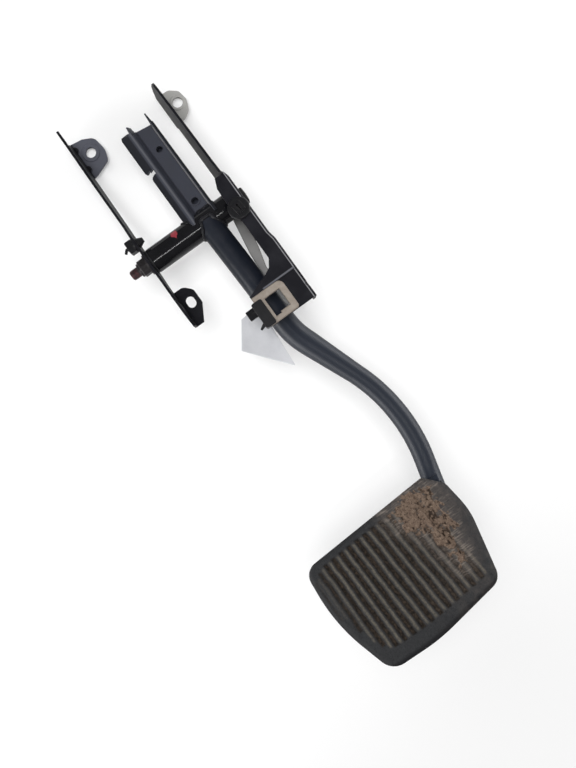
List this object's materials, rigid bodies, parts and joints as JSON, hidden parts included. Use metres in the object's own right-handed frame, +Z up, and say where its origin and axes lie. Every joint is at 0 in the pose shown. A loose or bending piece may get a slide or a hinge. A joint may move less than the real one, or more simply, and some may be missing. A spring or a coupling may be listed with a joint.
{
  "type": "suspended brake pedal",
  "caption": "Suspended brake pedal on two pressed bulkhead brackets: cross hub, channel lever above, bent tube arm below and a wide ribbed rubber pad.",
  "frame": {"origin": "on the bulkhead face, midway between the two upper bulkhead bolt holes", "axes": "+X to the driver's right along the pivot, +Y forward into the bulkhead, +Z up"},
  "size_m": [0.1463, 0.1225, 0.4926],
  "materials": {
    "black_paint": "satin",
    "grey_paint": "satin",
    "plated_steel": "matt",
    "dark_fixings": "satin",
    "sleeve_steel": "satin",
    "black_plastic": "matt",
    "bush_plastic": "satin",
    "pad_rubber": "matt",
    "blank_paper": "matt"
  },
  "bodies": {
    "bracket": {"left_bracket": "black_paint", "right_bracket": "black_paint", "switch_plate": "plated_steel", "brace_strap": "grey_paint", "pivot_bolt": "dark_fixings", "pivot_washer": "dark_fixings", "pivot_nut": "dark_fixings", "pivot_sleeve": "sleeve_steel", "trim_retainer": "black_plastic", "left_clip": "black_plastic", "left_tie": "black_plastic", "lower_clip": "black_plastic", "lower_tie": "black_plastic"},
    "pedal": {"hub_tube": "black_paint", "left_bush": "bush_plastic", "right_bush": "bush_plastic", "lever_channel": "black_paint", "lever_back": "black_paint", "pedal_arm": "black_paint", "foot_plate": "black_paint", "pad_rubber": "pad_rubber", "paper_tag": "blank_paper"}
  },
  "joints": [
    {"name": "pedal_pivot", "type": "hinge", "parent": "bracket", "child": "pedal", "pos_m": [0, -0.05, -0.1146], "axis": [1, 0, 0], "range_deg": [0, 20]}
  ]
}
